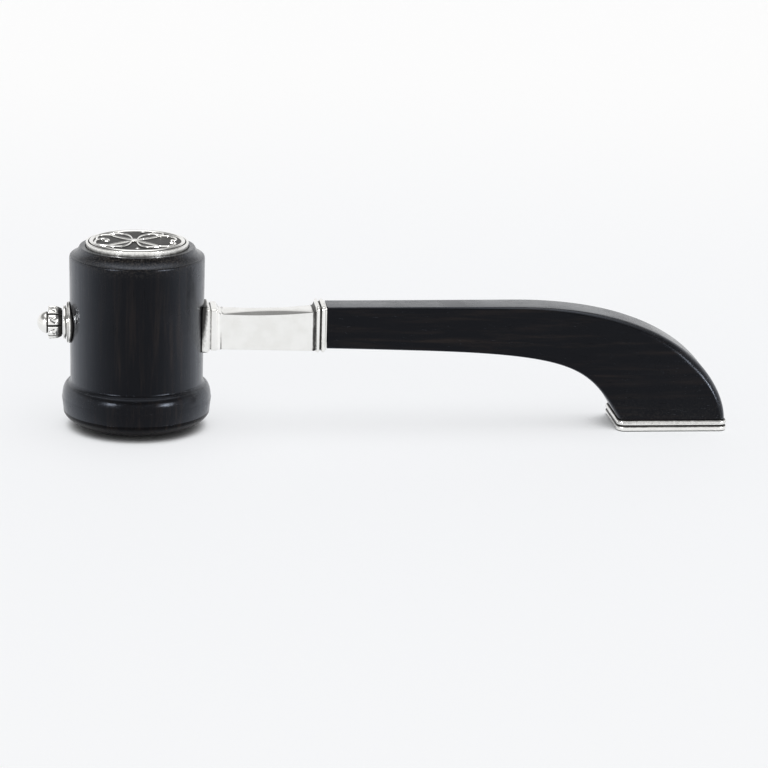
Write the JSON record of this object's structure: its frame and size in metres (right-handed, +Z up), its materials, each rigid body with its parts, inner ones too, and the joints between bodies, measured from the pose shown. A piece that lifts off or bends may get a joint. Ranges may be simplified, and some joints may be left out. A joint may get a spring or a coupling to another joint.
{
  "type": "ceremonial mallet",
  "caption": "Ceremonial mallet with a turned dark wood head, a silver medallion, finial and ferrule, and a curved dark wood handle ending in a silver-shod foot.",
  "frame": {"origin": "middle of the small flat on the head's striking face, which stands on the floor at Z = 0", "axes": "+X along the handle from the head to the foot, +Z up along the axis of the turned head, +Y across the handle"},
  "size_m": [0.2659, 0.0568, 0.0728],
  "materials": {
    "ebony": "polished, nearly black",
    "silver": "polished silver with dark recesses"
  },
  "bodies": {
    "root": {"head": "ebony", "medallion": "silver", "finial_rosette": "silver", "finial_knob": "silver", "ferrule": "silver", "handle": "ebony", "foot_shoe": "silver"}
  },
  "joints": []
}
